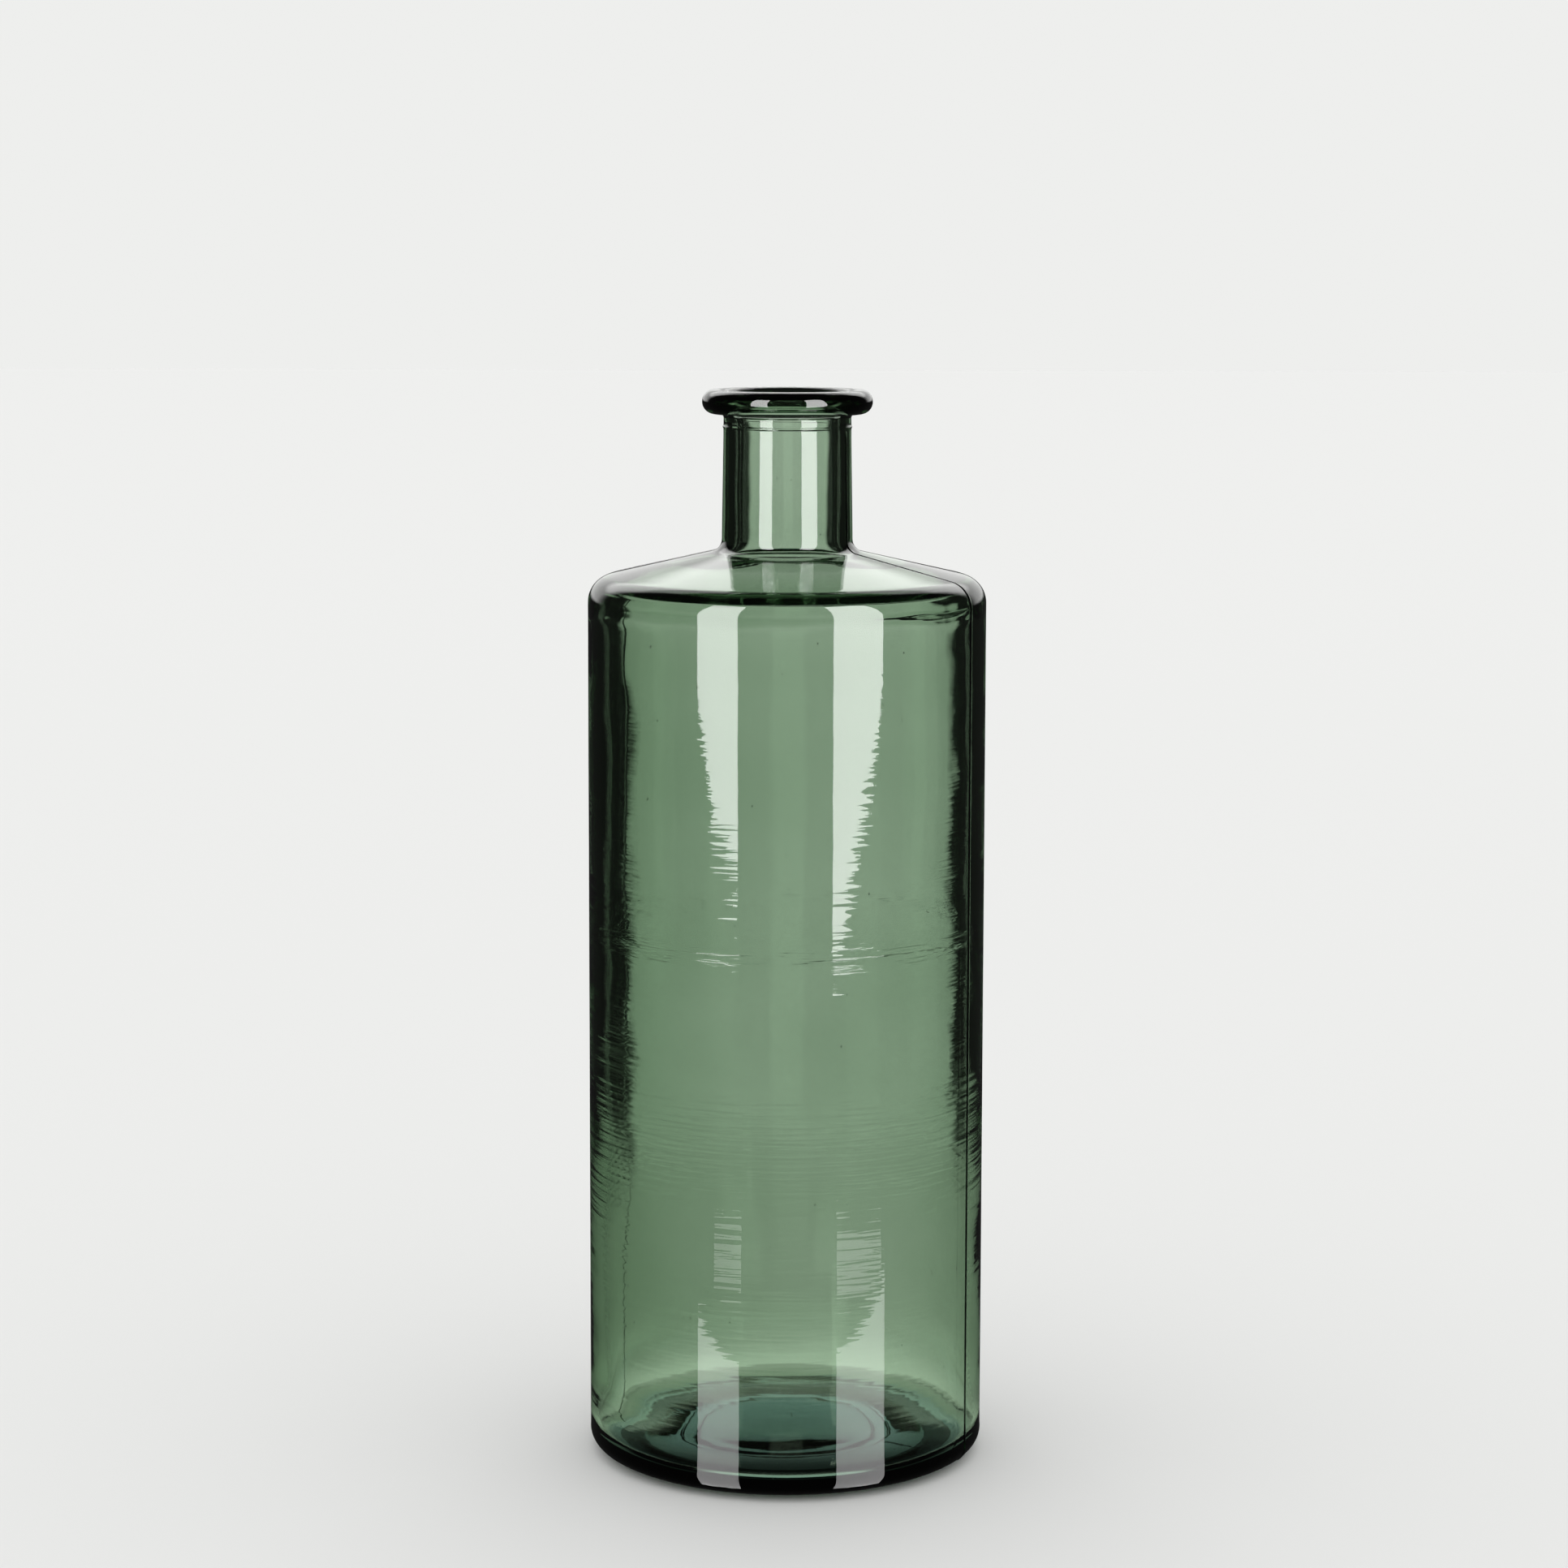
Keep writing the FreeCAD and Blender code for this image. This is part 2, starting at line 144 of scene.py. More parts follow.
heel_turn = math.asin((HEEL_FOOT - HEEL_HEIGHT) / (HEEL_FOOT - HEEL_SIDE))
rest = BODY - HEEL_SIDE - (HEEL_FOOT - HEEL_SIDE) * math.cos(heel_turn)
turn_degrees = math.degrees(heel_turn)
inner_edge = Vector((rest - STAND, 0))
trace(between(section[-1][0], inner_edge, FOOT_ROW), line=1.0)
trace([inner_edge] + between(inner_edge, Vector((rest, 0)), FOOT_ROW))
trace(arc(Vector((rest, HEEL_FOOT)), HEEL_FOOT, -90, -turn_degrees, 7)[:-1])
heel = Vector((BODY - HEEL_SIDE, HEEL_HEIGHT))
trace(arc(heel, HEEL_SIDE, -turn_degrees, 0, 8), line=1.0)
corner = Vector((BODY - CORNER, SIDE_TOP))
side = between(Vector((BODY, HEEL_HEIGHT)), Vector((BODY, SIDE_TOP)), SIDE_ROW)
trace(side, MOULD_STRAY, 1.0)
corner_points = arc(corner, CORNER, 0, 90 - slope_degrees, 12)
trace(corner_points, MOULD_STRAY, 1.0)

run = BODY - CORNER - NECK_FOOT - NECK_FILLET
lift = run * math.tan(SLOPE) + (CORNER + NECK_FILLET) / math.cos(SLOPE)
fillet = Vector((NECK_FOOT + NECK_FILLET, SIDE_TOP + lift))
fillet_points = arc(fillet, NECK_FILLET, 270 - slope_degrees, 180, 8)
trace(between(corner_points[-1], fillet_points[0], WIDE_ROW), SLOPE_STRAY, 1.0)
trace(fillet_points, FILLET_STRAY, 1.0)
neck_foot = fillet_points[-1]
lip_roll = Vector((NECK_TOP + LIP_FILLET, TOP - 2 * LIP - LIP_FILLET))
neck_top = lip_roll - Vector((LIP_FILLET, 0))
lean = (neck_top.x - neck_foot.x) / (neck_top.y - neck_foot.y)
levels = close_steps(RING_LINE)
line_foot = Vector((neck_foot.x + lean * (levels[0] - neck_foot.y), levels[0]))
trace(between(neck_foot, line_foot, NECK_ROW), NECK_STRAY, 1.0)
trace([Vector((neck_foot.x + lean * (z - neck_foot.y) + ridge(z - RING_LINE), z))
       for z in levels])
trace(between(section[-1][0], neck_top, COLLAR_ROW))
trace(arc(lip_roll, LIP_FILLET, 180, 90, 4))
trace(arc(LIP_CENTRE, LIP, -90, 90, 18), NECK_STRAY)

reach = FLARE - LIP
mouth_turn = math.degrees(math.acos((BORE + FLARE - LIP_CENTRE.x) / reach))
flare = Vector((BORE + FLARE, LIP_CENTRE.y - reach * math.sin(math.radians(mouth_turn))))
trace(arc(LIP_CENTRE, LIP, 90, 180 - mouth_turn, 5)[1:-1])
trace(arc(flare, FLARE, 180 - mouth_turn, 180, 8), FILLET_STRAY)
inside = BODY - WALL
inner_corner = Vector((inside - INNER_CORNER, SIDE_TOP - (INNER_CORNER - CORNER + WALL)))
throat_run = inner_corner.x - BORE - THROAT
throat_lift = throat_run * math.tan(SLOPE) + (INNER_CORNER + THROAT) / math.cos(SLOPE)
throat = Vector((BORE + THROAT, inner_corner.y + throat_lift))
bore = between(flare - Vector((FLARE, 0)), throat - Vector((THROAT, 0)), NECK_ROW)
trace(bore, INSIDE_STRAY)
throat_points = arc(throat, THROAT, 180, 270 - slope_degrees, 7)
inner_points = arc(inner_corner, INNER_CORNER, 90 - slope_degrees, 0, 11)
trace(throat_points, THROAT_STRAY)
trace(between(throat_points[-1], inner_points[0], WIDE_ROW), INSIDE_STRAY)
trace(inner_points, CORNER_STRAY)
inner_heel = Vector((inside - INNER_HEEL, FLOOR + INNER_HEEL))
roll_foot = Vector((inside, SIDE_TOP - ROLL_REACH))
trace(between(inner_points[-1], roll_foot, ROLL_ROW), INSIDE_STRAY)
trace(between(roll_foot, Vector((inside, inner_heel.y)), SIDE_ROW), INSIDE_STRAY)
drop = inner_heel.y - FLOOR_CROWN
dome = (inner_heel.x ** 2 + drop ** 2 - INNER_HEEL ** 2) / (2 * (INNER_HEEL - drop))
fall = math.degrees(math.atan2(inner_heel.x, dome + drop))
trace(arc(inner_heel, INNER_HEEL, 0, -90 - fall, 10), HEEL_STRAY)
trace(arc(Vector((0, FLOOR_CROWN - dome)), dome, 90 - fall, 90, 20)[1:], FLOOR_STRAY)

section_mesh = bpy.data.meshes.new("bottle_section")
section_mesh.from_pydata([(p.x, 0, p.y) for p, _, _ in section],
                         [(i, i + 1) for i in range(len(section) - 1)], [])
for name, column in (("slack", 1), ("line", 2)):
    values = section_mesh.attributes.new(name, "FLOAT", "POINT")
    values.data.foreach_set("value", [entry[column] for entry in section])
turning = bpy.data.objects.new("bottle_turning", section_mesh)
bpy.context.collection.objects.link(turning)

# The section is turned round the axis, then the glass strays from it, and gathers in a
# thicker roll inside the shoulder.  The two upright mould lines are raised, and a few
# seeds, tiny bubbles from the melt, are left in the wall.
SEAM = math.radians(-25)      # from the right hand round to one of the two mould lines
COLUMNS = 204
CROWDING = 0.88               # how closely the columns crowd towards the mould lines
SHOULDER_ROLL = 0.0021
ROLL_LEVEL = 0.3255           # where the roll is at its thickest
ROLL_BELOW = 0.010            # it has gone this far below that level
ROLL_FLAT = 0.001
ROLL_ABOVE = 0.008            # and this far above it
THICKER_ALL_ROUND = 0.0013
SET_OFF = 0.0005              # more glass on the left, and as much less on the right
SLOW_WAVES = (15.0, 15.0, 21.0)
EDGE_WAVES = (44.0, 44.0, 8.0)
EDGE_WANDER = 0.008           # how far the roll's lower edge wanders, in all
SEEDS_PER_AREA = 330.0
SEED_RADIUS = 0.00024
SEED_DEPTHS = (0.0011, 0.0021)
SEED_SHAPES = ((0.5, 0.5, 0.3), (1.5, 2.4, 0.9))


class Signal:
    """A socket that can be used in sums, so that node arithmetic reads like maths."""

    def __init__(self, wires, socket):
        self.wires = wires
        self.socket = socket

    def __add__(self, other):
        return self.wires.math("ADD", self, other)

    __radd__ = __add__

    def __sub__(self, other):
        return self.wires.math("SUBTRACT", self, other)

    def __rsub__(self, other):
        return self.wires.math("SUBTRACT", other, self)

    def __mul__(self, other):
        return self.wires.math("MULTIPLY", self, other)

    __rmul__ = __mul__

    def __truediv__(self, other):
        return self.wires.math("DIVIDE", self, other)

    def __rtruediv__(self, other):
        return self.wires.math("DIVIDE", other, self)


class Wires:
    """Adds nodes to one tree and joins them up."""

    def __init__(self, tree):
        self.tree = tree

    def add(self, kind, settings, sockets, output=0):
        """A node of this kind, with its settings, then its values or links."""
        node = self.tree.nodes.new(kind)
        for name, value in settings.items():
            setattr(node, name, value)
        for key, value in sockets.items():
            if isinstance(value, Signal):
                self.tree.links.new(value.socket, node.inputs[key])
            else:
                node.inputs[key].default_value = value
        return Signal(self, node.outputs[output])

    def math(self, operation, *values):
        return self.add("ShaderNodeMath", {"operation": operation},
                        dict(enumerate(values)))

    def parts(self, vector):
        """The three numbers of a vector."""
        first = self.add("ShaderNodeSeparateXYZ", {}, {0: vector})
        return [Signal(self, socket) for socket in first.socket.node.outputs]

    def scaled(self, vector, factors):
        """A vector with each of its parts multiplied by its own factor."""
        return self.add("ShaderNodeVectorMath", {"operation": "MULTIPLY"},
                        {0: vector, 1: factors})

    def noise(self, place, waves, detail, roughness, seed=0.0):
        """Smooth noise from 0 to 1, with this many waves to the metre each way."""
        return self.add("ShaderNodeTexNoise", {"noise_dimensions": "4D"},
                        {"Vector": self.scaled(place, waves), "W": seed, "Scale": 1.0,
                         "Detail": detail, "Roughness": roughness})

    def ramp(self, value, start, end, first=0.0, last=1.0):
        """A smooth step from one value to another."""
        return self.add("ShaderNodeMapRange", {"interpolation_type": "SMOOTHSTEP"},
                        {"Value": value, "From Min": start, "From Max": end,
                         "To Min": first, "To Max": last})


def blowing_tree(glass):
    """The node tree that makes the bottle from its section, and its named inputs."""
    tree = bpy.data.node_groups.new("blow_bottle", "GeometryNodeTree")
    wires = Wires(tree)
    kinds = (("Section", "NodeSocketGeometry"), ("Columns", "NodeSocketInt"),
             ("Crowding", "NodeSocketFloat"), ("Seam angle", "NodeSocketFloat"),
             ("Line height", "NodeSocketFloat"), ("Line half width", "NodeSocketFloat"),
             ("Shoulder roll", "NodeSocketFloat"), ("Roll level", "NodeSocketFloat"),
             ("Thicker all round", "NodeSocketFloat"), ("Set off", "NodeSocketFloat"),
             ("Seeds per area", "NodeSocketFloat"), ("Seed", "NodeSocketInt"))
    inputs = {name: tree.interface.new_socket(name, in_out="INPUT", socket_type=kind)
              for name, kind in kinds}
    tree.interface.new_socket("Glass", in_out="OUTPUT", socket_type="NodeSocketGeometry")
    entry = tree.nodes.new("NodeGroupInput")
    given = {name: Signal(wires, entry.outputs[name]) for name in inputs}
    points = wires.add("GeometryNodeAttributeDomainSize", {}, {0: given["Section"]})
    place = wires.add("GeometryNodeInputPosition", {}, {})

    grid = wires.add("GeometryNodeMeshGrid", {}, {
        "Size X": 1.0, "Size Y": 1.0, "Vertices X": points,
        "Vertices Y": given["Columns"] + 1})
    across, around, _ = wires.parts(place)
    row = wires.math("ROUND", (across + 0.5) * (points - 1))
    turn = around + 0.5
    crowd = wires.math("SINE", turn * (4 * math.pi)) * given["Crowding"]
    angle = given["Seam angle"] + turn * (2 * math.pi) - crowd * 0.5

    def sampled(kind, value):
        return wires.add("GeometryNodeSampleIndex", {"data_type": kind}, {
            "Geometry": given["Section"], "Value": value, "Index": row})

    def named(name):
        return wires.add("GeometryNodeInputNamedAttribute", {"data_type": "FLOAT"},
                         {"Name": name})

    def stored(geometry, name):
        return wires.add("GeometryNodeStoreNamedAttribute", {"data_type": "FLOAT"}, {
            "Geometry": geometry, "Name": name, "Value": sampled("FLOAT", named(name))})

    radius, _, level = wires.parts(sampled("FLOAT_VECTOR", place))
    turned = wires.add("ShaderNodeCombineXYZ", {}, {
        0: radius * wires.math("COSINE", angle), 1: radius * wires.math("SINE", angle),
        2: level})
    shell = wires.add("GeometryNodeSetPosition", {}, {
        "Geometry": stored(stored(grid, "slack"), "line"), "Position": turned})
    shell = wires.add("GeometryNodeMergeByDistance", {}, {
        "Geometry": shell, "Distance": 0.000001})
    shell = wires.add("GeometryNodeFlipFaces", {}, {0: shell})

    x, y, z = wires.parts(place)
    seam = given["Seam angle"]
    off_seam = y * wires.math("COSINE", seam) - x * wires.math("SINE", seam)
    off_seam = wires.math("ABSOLUTE", off_seam)
    raised = wires.ramp(off_seam, 0.0, given["Line half width"] * 2.0, 1.0, 0.0)
    slow = wires.noise(place, SLOW_WAVES, 2.5, 0.45, given["Seed"]) - 0.5
    edge = wires.noise(place, EDGE_WAVES, 1.5, 0.5, given["Seed"] + 3) - 0.5
    wandering = z + edge * EDGE_WANDER
    # Only the inside may stray by 0.4 mm or more, which tells it from the outside.
    inner = wires.ramp(named("slack"), 0.0002, 0.0004)
    roll = given["Roll level"]
    under = wires.ramp(wandering, roll - ROLL_BELOW, roll)
    over = wires.ramp(z, roll + ROLL_FLAT, roll + ROLL_ABOVE, 1.0, 0.0)
    stray = named("slack") * (inner * 2.0 * slow + (1 - inner) * (slow - 0.5))
    blown_in = wires.ramp(z, 0.012, 0.03) * wires.ramp(z, 0.30, 0.33, 1.0, 0.0)
    sideways = x / wires.math("SQRT", x * x + y * y + 0.0001)
    uneven = inner * blown_in * (given["Thicker all round"] - sideways * given["Set off"])
    lift = stray + uneven + inner * under * over * given["Shoulder roll"]
    lift = lift + named("line") * raised * given["Line height"]
    normal = wires.add("GeometryNodeInputNormal", {}, {})
    offset = wires.add("ShaderNodeVectorMath", {"operation": "SCALE"},
                       {0: normal, "Scale": lift})
    shell = wires.add("GeometryNodeSetPosition", {}, {"Geometry": shell, "Offset": offset})

    scatter = wires.add("GeometryNodeDistributePointsOnFaces", {}, {
        "Mesh": shell, "Density": given["Seeds per area"], "Seed": given["Seed"]})
    outward = Signal(wires, scatter.socket.node.outputs["Normal"])
    facing = Signal(wires, scatter.socket.node.outputs["Rotation"])
    depth = wires.add("FunctionNodeRandomValue", {"data_type": "FLOAT"}, {
        "Min": -SEED_DEPTHS[1], "Max": -SEED_DEPTHS[0], "Seed": given["Seed"]}, 1)
    size = wires.add("FunctionNodeRandomValue", {"data_type": "FLOAT_VECTOR"}, {
        "Min": SEED_SHAPES[0], "Max": SEED_SHAPES[1], "Seed": given["Seed"]}, 0)
    sunk = wires.add("ShaderNodeVectorMath", {"operation": "SCALE"},
                     {0: outward, "Scale": depth})
    scatter = wires.add("GeometryNodeSetPosition", {}, {"Geometry": scatter, "Offset": sunk})
    bubble = wires.add("GeometryNodeMeshIcoSphere", {}, {
        "Radius": SEED_RADIUS, "Subdivisions": 2})
    seeds = wires.add("GeometryNodeInstanceOnPoints", {}, {
        "Points": scatter, "Instance": bubble, "Rotation": facing, "Scale": size})
    seeds = wires.add("GeometryNodeRealizeInstances", {}, {0: seeds})
    seeds = wires.add("GeometryNodeFlipFaces", {}, {0: seeds})

    both = tree.nodes.new("GeometryNodeJoinGeometry")
    for geometry in (shell, seeds):
        tree.links.new(geometry.socket, both.inputs[0])
    smooth = wires.add("GeometryNodeSetShadeSmooth", {}, {
        "Geometry": Signal(wires, both.outputs[0])})
    whole = wires.add("GeometryNodeRealizeInstances", {}, {0: smooth})
    finished = wires.add("GeometryNodeSetMaterial", {}, {
        "Geometry": whole, "Material": glass})
    leave = tree.nodes.new("NodeGroupOutput")
    tree.links.new(finished.socket, leave.inputs[0])
    return tree, inputs


REFRACTION = 1.52
GLASS_TINT = (0.04, 0.29, 0.03, 1.0)
GLASS_DENSITY = 150.0         # absorption per metre, where the tint is 0
SURFACE_RELIEF = 0.00004      # height of the ripples that are too fine for the mesh
MOST_HAZE = 0.035             # roughness of the haziest patches
CHILL_WRINKLES = (0.191, 0.207)   # the levels between which the mould chilled the glass


def recycled_glass():
    """Smoky grey-green bottle glass: chilled ripples outside, softer swells inside."""
    glass = bpy.data.materials.new("recycled_glass")
    glass.use_nodes = True
    tree = glass.node_tree
    tree.nodes.clear()
    wires = Wires(tree)
    place = wires.add("ShaderNodeTexCoord", {}, {}, "Object")
    _, _, z = wires.parts(place)
    ripple = wires.noise(place, (16.0, 16.0, 330.0), 2.0, 0.55)
    swell = wires.noise(place, (38.0, 38.0, 62.0), 2.0, 0.5, 4.0)
    fine = wires.noise(place, (140.0, 140.0, 900.0), 2.0, 0.6, 9.0)
    chilled = wires.ramp(z, 0.24, 0.31, 1.0, 0.25) * wires.ramp(z, 0.05, 0.09, 0.35, 1.0)
    near = wires.noise(place, (60.0, 60.0, 700.0), 2.0, 0.6, 6.0)
    lowest, highest = CHILL_WRINKLES
    crease = wires.ramp(near, 0.5, 0.62) * wires.ramp(z, lowest, lowest + 0.007)
    crease = crease * wires.ramp(z, highest - 0.006, highest, 1.0, 0.0)
    below_lip = wires.ramp(z, 0.384, 0.389, 1.0, 0.1)
    height = ripple * chilled * 2.8 + swell * 1.2 + fine * 0.12 + crease
    height = height * below_lip
    bump = wires.add("ShaderNodeBump", {}, {
        "Strength": 1.0, "Distance": SURFACE_RELIEF, "Height": height})
    haze = wires.noise(place, (30.0, 30.0, 18.0), 3.0, 0.6, 2.0)
    roughness = wires.ramp(haze, 0.45, 0.8, 0.0, MOST_HAZE)
    surface = wires.add("ShaderNodeBsdfPrincipled", {}, {
        "Base Color": (1.0, 1.0, 1.0, 1.0), "Transmission Weight": 1.0,
        "IOR": REFRACTION, "Roughness": roughness, "Normal": bump})
    volume = wires.add("ShaderNodeVolumeAbsorption", {}, {
        "Color": GLASS_TINT, "Density": GLASS_DENSITY})
    output = tree.nodes.new("ShaderNodeOutputMaterial")
    tree.links.new(surface.socket, output.inputs["Surface"])
    tree.links.new(volume.socket, output.inputs["Volume"])
    return glass


glass = recycled_glass()
tree, sockets = blowing_tree(glass)
blowing = turning.modifiers.new("blow_bottle", "NODES")
blowing.node_group = tree
settings = {"Columns": COLUMNS, "Crowding": CROWDING, "Seam angle": SEAM,
            "Line height": LINE_PROUD, "Line half width": LINE_HALF,
            "Shoulder roll": SHOULDER_ROLL, "Roll level": ROLL_LEVEL,
            "Thicker all round": THICKER_ALL_ROUND, "Set off": SET_OFF,
            "Seeds per area": SEEDS_PER_AREA, "Seed": 7}
for name, value in settings.items():
    blowing[sockets[name].identifier] = value

blown = bpy.data.meshes.new_from_object(
    turning.evaluated_get(bpy.context.evaluated_depsgraph_get()))
blown.name = "bottle_glass"
for name in ("slack", "line"):
    blown.attributes.remove(blown.attributes[name])
bottle = bpy.data.objects.new("bottle_glass", blown)
bpy.context.collection.objects.link(bottle)
bpy.data.objects.remove(turning)

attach(bottle, "root")
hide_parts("bottle")

# ---------------------------------------------------------------- table and floor
# A plain pale floor lies under the view and takes the bottle's soft shadow.  In the same
# place lies a sheet of polished opal, which only light that has come through the glass can
# see: it is the pale ground behind the glass, and its glow is painted light, with the
# bottle's shadow painted round the foot.

FLOOR_COLOUR = (0.74, 0.74, 0.74, 1.0)
FLOOR_ROUGHNESS = 0.7
FLOOR_REACH = 12.0
FLOOR_DROP = 0.0002
TABLE_REACH = 1.2
TABLE_DEPTH = 0.56            # from the middle to where it has faded out at the back
# Painted light on the open table, away from the bottle.
TABLE_PAINTED_LIGHT = 0.50
# Painted light under the back of the foot, where light through the glass falls.
PAINTED_UNDER_LIGHT = 1.0              # as it glows under the back of the foot
POLISH = 0.45
ASIDE = (0.12, 0.22)          # how far to the side it glows when seen from halfway up
LOW_LOOK = (0.62, 0.70)       # a look along the table, from the upper value on
MIDDLE_LOOK = (0.35, 0.50)    # a look from halfway up
HIGH_LOOK = (0.05, 0.12)      # a look from above, to the lower value
# Painted teal tint of the light that has come through the glass under the foot.
PAINTED_FOOT_LIGHT_TINT = (0.85, 1.0, 1.3, 1.0)
OPAL_TINT = (1.0, 1.0, 0.97, 1.0)


def plain(name, colour, roughness):
    """A pale matt surface."""
    material = bpy.data.materials.new(name)
    material.use_nodes = True
    tree = material.node_tree
    tree.nodes.clear()
    surface = Wires(tree).add("ShaderNodeBsdfPrincipled", {}, {
        "Base Color": colour, "Roughness": roughness, "Specular IOR Level": 0.0})
    output = tree.nodes.new("ShaderNodeOutputMaterial")
    tree.links.new(surface.socket, output.inputs["Surface"])
    return material


def painted_light_table(reach, shade_radius):
    """A polished opal sheet whose glow is painted light, with the bottle's shadow painted
    round its foot.
    """
    material = bpy.data.materials.new("painted_light_table")
    material.use_nodes = True
    tree = material.node_tree
    tree.nodes.clear()
    wires = Wires(tree)
    place = wires.add("ShaderNodeTexCoord", {}, {}, "Object")
    away = wires.add("ShaderNodeVectorMath", {"operation": "LENGTH"}, {0: place}, "Value")
    oval = wires.scaled(place, (TABLE_DEPTH / reach, 1.0, 1.0))
    oval = wires.add("ShaderNodeVectorMath", {"operation": "LENGTH"}, {0: oval}, "Value")
    sideways, backward, _ = wires.parts(place)
    # Painted shade under the front of the foot and painted light under its back.
    under = wires.ramp(backward, -0.05, 0.03, 0.06, PAINTED_UNDER_LIGHT)
    # Facing is 0 for a look straight down and 1 for one along the table.
    facing = wires.add("ShaderNodeLayerWeight", {}, {"Blend": 0.5}, "Facing")
    shallow = wires.ramp(facing, *LOW_LOOK)
    aside = wires.ramp(wires.math("ABSOLUTE", sideways), *ASIDE)
    # Painted light on the open table: even for looks along it, only to the sides for steeper
    # looks.
    open_top = shallow * TABLE_PAINTED_LIGHT + (1 - shallow) * aside * (TABLE_PAINTED_LIGHT + POLISH * 0.8)
    # Painted shadow of the bottle: dark round the foot, fading out to three body radii.
    around = wires.ramp(away, shade_radius * 1.1, shade_radius * 3.0)
    painted_light_and_shadow = under * (1 - around) + open_top * around
    # Painted teal tint of the light under the foot, fading to the opal's own tint beyond it.
    tint = wires.add("ShaderNodeMix", {"data_type": "RGBA"}, {
        "Factor": wires.ramp(away, shade_radius * 0.8, shade_radius * 1.1)}, 2)
    colours = tint.socket.node.inputs
    colours[6].default_value = PAINTED_FOOT_LIGHT_TINT
    colours[7].default_value = OPAL_TINT
    # Painted light that brightens the table for looks from above.
    from_above = wires.ramp(facing, *HIGH_LOOK, 1.0, 0.0)
    glowing = wires.add("ShaderNodeVectorMath", {"operation": "SCALE"}, {
        0: tint, "Scale": painted_light_and_shadow * wires.ramp(facing, *MIDDLE_LOOK) + from_above})
    glow = wires.add("ShaderNodeEmission", {}, {"Color": glowing, "Strength": 1.0})
    polish = wires.add("ShaderNodeBsdfGlossy", {}, {"Roughness": 0.02})
    black = wires.add("ShaderNodeBsdfTransparent", {}, {"Color": (0.0, 0.0, 0.0, 1.0)})
    polish = wires.add("ShaderNodeMixShader", {}, {0: shallow * POLISH, 1: black, 2: polish})
    top = wires.add("ShaderNodeAddShader", {}, {0: glow, 1: polish})
    clear = wires.add("ShaderNodeBsdfTransparent", {}, {})
    fade = wires.ramp(oval, TABLE_DEPTH * 0.62, TABLE_DEPTH, 0.0, 1.0)
    whole = wires.add("ShaderNodeMixShader", {}, {0: fade, 1: top, 2: clear})
    output = tree.nodes.new("ShaderNodeOutputMaterial")
    tree.links.new(whole.socket, output.inputs["Surface"])
    return material


def sheet(name, half, level, material):
    """A square lying flat, as far as half each way."""
    mesh = bpy.data.meshes.new(name)
    mesh.from_pydata([(-half, -half, level), (half, -half, level), (half, half, level),
                      (-half, half, level)], [], [(0, 1, 2, 3)])
    mesh.materials.append(material)
    flat = bpy.data.objects.new(name, mesh)
    bpy.context.collection.objects.link(flat)
    return flat


table = sheet("table", TABLE_REACH, low.z, painted_light_table(TABLE_REACH, BODY))
table.visible_camera = False
table.visible_glossy = False
table.visible_diffuse = False
table.visible_shadow = False
floor = sheet("floor", FLOOR_REACH, low.z - FLOOR_DROP,
              plain("pale_floor", FLOOR_COLOUR, FLOOR_ROUGHNESS))
floor.visible_transmission = False
floor.visible_glossy = False

# ---------------------------------------------------------------- room light and lamps
# Light that has come through the glass sees pale panels round the room, and the dark
# gaps between them draw the dark edges of thick glass.  Reflections see a bright sweep
# behind the bottle, and two tall lamps in front, whose light also lies on the table.

PANEL_HALF = math.radians(10)
ROOM_DARK = 0.02
WALL_GLOW = 1.1               # the sweep from the horizon up, straight behind
SWEEP = 2.5                   # and higher, where the shoulder mirrors it
SWEEP_HALF = (0.60, 0.85)     # the turns from the back over which it ends, in radians
AMBIENT = 1.08                # lights the floor, along with some of the sweep
SEEN = 0.86                   # what the view shows above the floor
ROOM_COLOUR = (0.995, 1.0, 0.985, 1.0)
LAMP_TOP = 1.0                # above the table, well over the bottle
LAMP_RADIANCE = 10.0
POOL_RADIANCE = 4.0
POOL_LIFT = 0.0001            # keeps the light just clear of the table


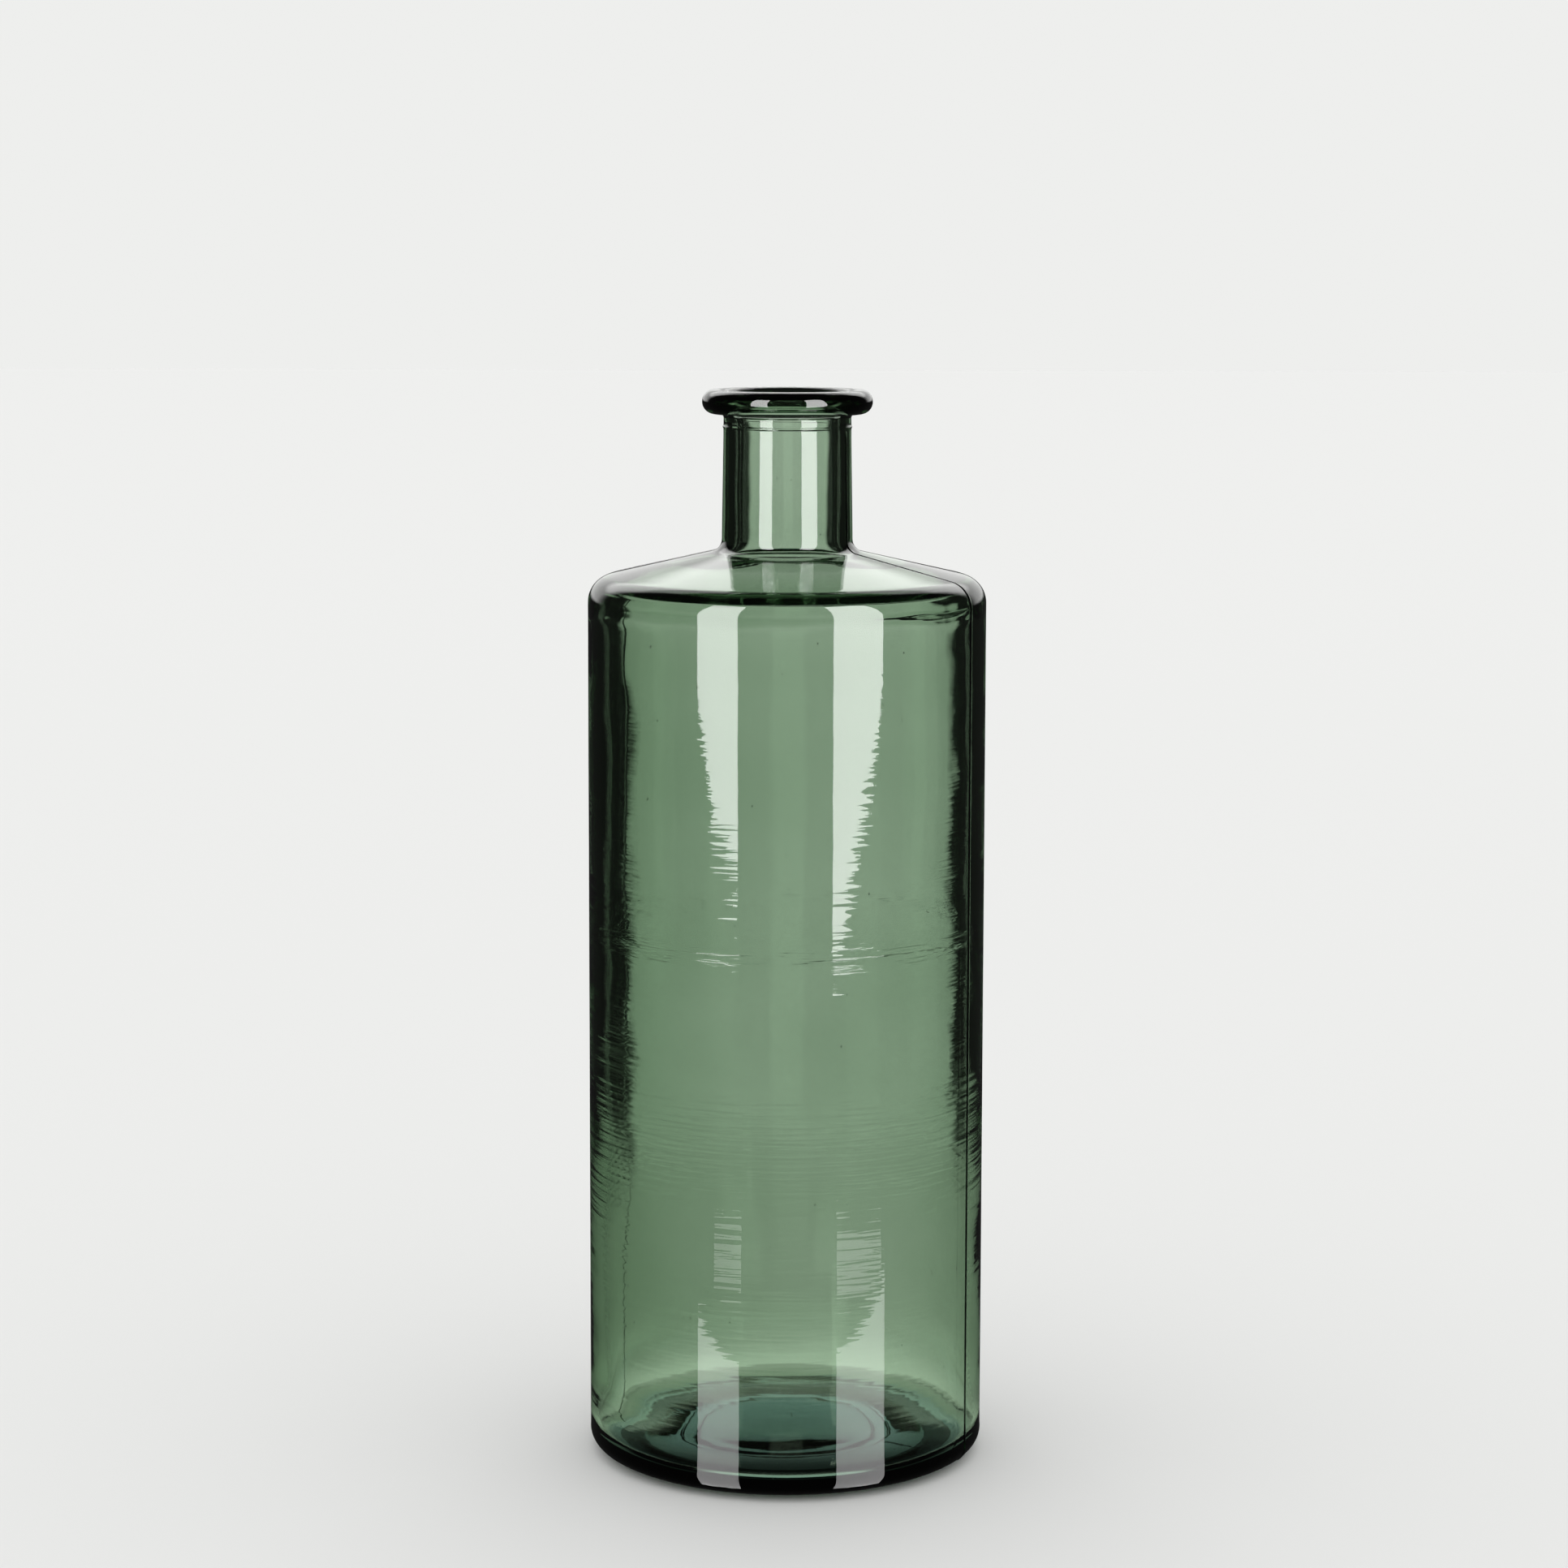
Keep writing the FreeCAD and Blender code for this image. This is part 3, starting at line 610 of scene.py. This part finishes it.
def light_room():
    """The world as each kind of ray finds it: panels, sweep, even light or plain ground."""
    world = bpy.data.worlds.new("light_room")
    world.use_nodes = True
    tree = world.node_tree
    tree.nodes.clear()
    wires = Wires(tree)
    # The direction's z is the sine of its height above the horizon.
    direction = wires.add("ShaderNodeTexCoord", {}, {}, "Generated")
    x, y, z = wires.parts(direction)
    angle = wires.math("ARCTAN2", x, y)
    passed = wires.add("ShaderNodeLightPath", {}, {}, "Is Transmission Ray")

    def facing(centre, count=1):
        """Where a panel stands, at this heading from the back and as often round."""
        along = (angle - math.radians(centre)) * count
        return wires.ramp(wires.math("COSINE", along),
                          math.cos(PANEL_HALF * 1.15 * count),
                          math.cos(PANEL_HALF * 0.85 * count))

    standing = (facing(0, 4) + facing(135)) * wires.ramp(z, -0.33, -0.265)
    through = standing * wires.ramp(z, 0.22, 0.30, 1.0, 0.0)
    through = through + facing(-45) * wires.ramp(z, -0.38, -0.31, 1.0, 0.0)
    turned = wires.math("ABSOLUTE", angle)
    wall = wires.ramp(z, -0.02, 0.05)
    sweep = wall * WALL_GLOW + wires.ramp(z, 0.28, 0.40) * (SWEEP - WALL_GLOW)
    sweep = sweep * wires.ramp(z, 0.78, 0.86, 1.0, 0.0) * wires.ramp(z, 0.62, 0.70, 1.0, 0.5)
    sweep = sweep * wires.ramp(turned, *SWEEP_HALF, 1.0, 0.0)
    level = ROOM_DARK + through * passed + sweep * (1 - passed)
    spread = wires.add("ShaderNodeLightPath", {}, {}, "Is Diffuse Ray")
    level = level * (1 - spread) + spread * AMBIENT
    seen = wires.add("ShaderNodeLightPath", {}, {}, "Is Camera Ray")
    strength = level * (1 - seen) + seen * SEEN
    light = wires.add("ShaderNodeBackground", {}, {
        "Color": ROOM_COLOUR, "Strength": strength})
    output = tree.nodes.new("ShaderNodeOutputWorld")
    tree.links.new(light.socket, output.inputs["Surface"])
    return world


def glowing_card(name, corners, radiance):
    """A flat glowing shape that shows only as a reflection."""
    mesh = bpy.data.meshes.new(name)
    mesh.from_pydata(corners, [], [tuple(range(len(corners)))])
    material = bpy.data.materials.new(name)
    material.use_nodes = True
    tree = material.node_tree
    tree.nodes.clear()
    glow = Wires(tree).add("ShaderNodeEmission", {}, {"Strength": radiance})
    output = tree.nodes.new("ShaderNodeOutputMaterial")
    tree.links.new(glow.socket, output.inputs["Surface"])
    mesh.materials.append(material)
    card = bpy.data.objects.new(name, mesh)
    bpy.context.collection.objects.link(card)
    card.visible_camera = False
    card.visible_transmission = False
    card.visible_diffuse = False
    card.visible_shadow = False


def heading(degrees):
    """A level direction, this many degrees from the front towards the right."""
    turn = math.radians(degrees)
    return Vector((math.sin(turn), -math.cos(turn), 0))


def soft_lamp(name, distance, outline, radiance):
    """A tall flat lamp, whose outline is (degrees from the front, height) corners."""
    middle = sum(azimuth for azimuth, _ in outline) / len(outline)
    across = Vector((-heading(middle).y, heading(middle).x, 0))
    glowing_card(name, [
        heading(middle) * distance + Vector((0, 0, height))
        + across * distance * math.tan(math.radians(azimuth - middle))
        for azimuth, height in outline], radiance)


def light_pool(name, outline, radiance):
    """Lamp light lying on the table, as (degrees, distance from the glass) corners."""
    glowing_card(name, [
        heading(azimuth / 2) * BODY + heading(azimuth) * distance
        + Vector((0, 0, POOL_LIFT))
        for azimuth, distance in outline], radiance)


bpy.context.scene.world = light_room()
soft_lamp("lamp_left", 0.68, [(-26.4, LAMP_TOP), (-49.6, LAMP_TOP), (-49.6, 0.222),
                              (-39.5, 0.155), (-26.4, 0.125)], LAMP_RADIANCE)
soft_lamp("lamp_right", 0.66, [(25.0, LAMP_TOP), (25.0, 0.088), (29.8, 0.096),
                               (39.6, 0.147), (50.3, 0.201), (53.5, 0.231),
                               (53.5, LAMP_TOP)], LAMP_RADIANCE)
light_pool("pool_left", [(-26.8, 0.0), (-52, 0.0), (-52, 0.235), (-26.8, 0.17)],
           POOL_RADIANCE)
light_pool("pool_right", [(29.6, 0.0), (59.5, 0.0), (59.5, 0.30), (29.6, 0.187)],
           POOL_RADIANCE)
light_pool("patch_left", [(-25.5, 0.29), (-42, 0.30), (-42, 0.37), (-25.5, 0.385)],
           POOL_RADIANCE * 0.5)
light_pool("patch_right", [(29.6, 0.28), (57, 0.31), (57, 0.36), (29.6, 0.385)],
           POOL_RADIANCE * 0.6)

# ---------------------------------------------------------------- camera
# Looks at the bottle from the front and a little above, with a long lens.

CAMERA_HEIGHT = 1.14 * TOP
CAMERA_DISTANCE = 3.6 * TOP
FRAME_SIDE = 1932
FOCAL_LENGTH = 4794.0         # measured on the image, which is FRAME_SIDE wide
CAMERA_PITCH = math.radians(6.88)
CAMERA_ROLL = math.radians(0.127)
SHIFT_ACROSS = -0.0018
SHIFT_UP = -0.0497
MOST_BOUNCES = 32
THROUGH_BOUNCES = 28
MIRROR_BOUNCES = 12
data = bpy.data.cameras.new("camera")
data.lens = FOCAL_LENGTH * data.sensor_width / FRAME_SIDE
data.shift_x = SHIFT_ACROSS
data.shift_y = SHIFT_UP
camera = bpy.data.objects.new("camera", data)
camera.location = (0, -CAMERA_DISTANCE, CAMERA_HEIGHT)
pitch = Matrix.Rotation(math.radians(90) - CAMERA_PITCH, 3, "X")
camera.rotation_euler = (pitch @ Matrix.Rotation(CAMERA_ROLL, 3, "Z")).to_euler()
bpy.context.collection.objects.link(camera)
bpy.context.scene.camera = camera

cycles = bpy.context.scene.cycles
cycles.max_bounces = MOST_BOUNCES
cycles.transmission_bounces = THROUGH_BOUNCES
cycles.glossy_bounces = MIRROR_BOUNCES
bpy.context.scene.view_settings.view_transform = "Standard"
